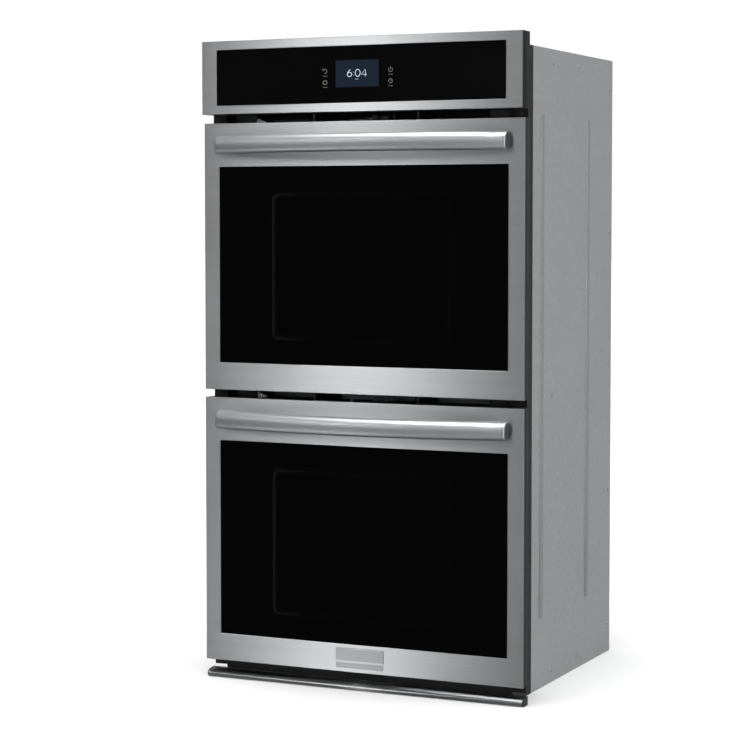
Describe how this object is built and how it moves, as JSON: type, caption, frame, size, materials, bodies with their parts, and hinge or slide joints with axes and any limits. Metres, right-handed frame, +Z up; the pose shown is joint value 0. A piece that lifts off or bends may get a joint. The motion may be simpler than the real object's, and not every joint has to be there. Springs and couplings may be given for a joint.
{
  "type": "wall oven",
  "caption": "Built-in double wall oven with a black glass control panel, stainless doors with large windows and bowed handles, racks, fans, latches and a sheet metal body.",
  "frame": {"origin": "bottom centre of the whole closed oven, on the surface that its base stands on", "axes": "+Z up, +X to the right seen from the front, fronts facing -Y"},
  "size_m": [0.686, 0.669, 1.28],
  "materials": {
    "stainless": "horizontal brushed grain",
    "handle_metal": "fine brushed, bright",
    "black_glass": "black printed, polished",
    "clear_glass": "clear, polished",
    "display": "dark blue display face",
    "black_paint": "satin black powder coat",
    "enamel": "dark speckled gloss enamel",
    "galvanised": "galvanised sheet, dull",
    "chrome_wire": "bright plated wire",
    "element_metal": "dark oxidised tube",
    "woven_seal": "woven glass fibre",
    "motor_metal": "cast and plated, dull",
    "board": "green circuit board",
    "lens": "moulded, clear",
    "plunger_plastic": "white, moulded"
  },
  "bodies": {
    "chassis": {"base_pan": "galvanised", "side_panel_left": "black_paint", "side_panel_right": "black_paint", "rear_panel": "galvanised", "top_cover": "galvanised", "divider_deck": "galvanised", "conduit_gland": "galvanised", "panel_frame": "stainless", "panel_glass": "black_glass", "display_module": "display", "control_board": "board", "blower_housing": "galvanised", "bottom_trim": "stainless", "cavity_liner_lower": "enamel", "door_gasket_lower": "woven_seal", "vent_duct_lower": "black_paint", "broil_element_lower": "element_metal", "bake_element_lower": "element_metal", "fan_cover_lower": "enamel", "fan_motor_lower": "motor_metal", "oven_lamp_lower": "lens", "temperature_probe_lower": "motor_metal", "hinge_arm_lower_left": "galvanised", "hinge_arm_lower_right": "galvanised", "cavity_liner_upper": "enamel", "door_gasket_upper": "woven_seal", "vent_duct_upper": "black_paint", "broil_element_upper": "element_metal", "bake_element_upper": "element_metal", "fan_cover_upper": "enamel", "fan_motor_upper": "motor_metal", "oven_lamp_upper": "lens", "temperature_probe_upper": "motor_metal", "hinge_arm_upper_left": "galvanised", "hinge_arm_upper_right": "galvanised"},
    "door_lower": {"door_skin_lower": "stainless", "door_liner_lower": "black_paint", "door_glass_lower": "black_glass", "inner_glass_lower": "clear_glass", "handle_lower": "handle_metal", "hinge_channel_lower_left": "galvanised", "hinge_channel_lower_right": "galvanised"},
    "rack_lower_low": {"rack_lower_low": "chrome_wire"},
    "rack_lower_high": {"rack_lower_high": "chrome_wire"},
    "fan_lower": {"fan_blade_lower": "galvanised"},
    "latch_lower": {"latch_hook_lower": "galvanised"},
    "plunger_lower": {"switch_plunger_lower": "plunger_plastic"},
    "door_upper": {"door_skin_upper": "stainless", "door_liner_upper": "black_paint", "door_glass_upper": "black_glass", "inner_glass_upper": "clear_glass", "handle_upper": "handle_metal", "hinge_channel_upper_left": "galvanised", "hinge_channel_upper_right": "galvanised"},
    "rack_upper_low": {"rack_upper_low": "chrome_wire"},
    "rack_upper_high": {"rack_upper_high": "chrome_wire"},
    "fan_upper": {"fan_blade_upper": "galvanised"},
    "latch_upper": {"latch_hook_upper": "galvanised"},
    "plunger_upper": {"switch_plunger_upper": "plunger_plastic"},
    "blower": {"blower_wheel": "galvanised"}
  },
  "joints": [
    {"name": "door_lower_hinge", "type": "hinge", "parent": "chassis", "child": "door_lower", "pos_m": [0, -0.2555, 0.0445], "axis": [1, 0, 0], "range_deg": [0, 88], "stiffness_Nm_per_rad": 12, "springref_deg": -28.65},
    {"name": "rack_lower_low_slide", "type": "slide", "parent": "chassis", "child": "rack_lower_low", "axis": [0, -1, 0], "range_m": [0, 0.276]},
    {"name": "rack_lower_high_slide", "type": "slide", "parent": "chassis", "child": "rack_lower_high", "axis": [0, -1, 0], "range_m": [0, 0.276]},
    {"name": "fan_lower_spin", "type": "hinge", "parent": "chassis", "child": "fan_lower", "pos_m": [0, 0.2295, 0.2865], "axis": [0, 1, 0], "continuous": true},
    {"name": "latch_lower_swing", "type": "hinge", "parent": "chassis", "child": "latch_lower", "pos_m": [0, -0.2105, 0.573], "axis": [0, 0, 1], "range_deg": [0, 80]},
    {"name": "plunger_lower_slide", "type": "slide", "parent": "chassis", "child": "plunger_lower", "axis": [0, -1, 0], "range_m": [0, 0.008]},
    {"name": "door_upper_hinge", "type": "hinge", "parent": "chassis", "child": "door_upper", "pos_m": [0, -0.2555, 0.593], "axis": [1, 0, 0], "range_deg": [0, 88], "stiffness_Nm_per_rad": 12, "springref_deg": -28.65},
    {"name": "rack_upper_low_slide", "type": "slide", "parent": "chassis", "child": "rack_upper_low", "axis": [0, -1, 0], "range_m": [0, 0.276]},
    {"name": "rack_upper_high_slide", "type": "slide", "parent": "chassis", "child": "rack_upper_high", "axis": [0, -1, 0], "range_m": [0, 0.276]},
    {"name": "fan_upper_spin", "type": "hinge", "parent": "chassis", "child": "fan_upper", "pos_m": [0, 0.2295, 0.835], "axis": [0, 1, 0], "continuous": true},
    {"name": "latch_upper_swing", "type": "hinge", "parent": "chassis", "child": "latch_upper", "pos_m": [0, -0.2105, 1.1215], "axis": [0, 0, 1], "range_deg": [0, 80]},
    {"name": "plunger_upper_slide", "type": "slide", "parent": "chassis", "child": "plunger_upper", "axis": [0, -1, 0], "range_m": [0, 0.008]},
    {"name": "blower_spin", "type": "hinge", "parent": "chassis", "child": "blower", "pos_m": [0, -0.1305, 1.098], "axis": [1, 0, 0], "continuous": true}
  ],
  "couplings": [
    {"joint": "rack_lower_low_slide", "follows": "door_lower_hinge", "m_per_rad": 0.1796},
    {"joint": "rack_lower_high_slide", "follows": "door_lower_hinge", "m_per_rad": 0.1796},
    {"joint": "plunger_lower_slide", "follows": "door_lower_hinge", "m_per_rad": 0.0052},
    {"joint": "rack_upper_low_slide", "follows": "door_upper_hinge", "m_per_rad": 0.1796},
    {"joint": "rack_upper_high_slide", "follows": "door_upper_hinge", "m_per_rad": 0.1796},
    {"joint": "plunger_upper_slide", "follows": "door_upper_hinge", "m_per_rad": 0.0052}
  ]
}
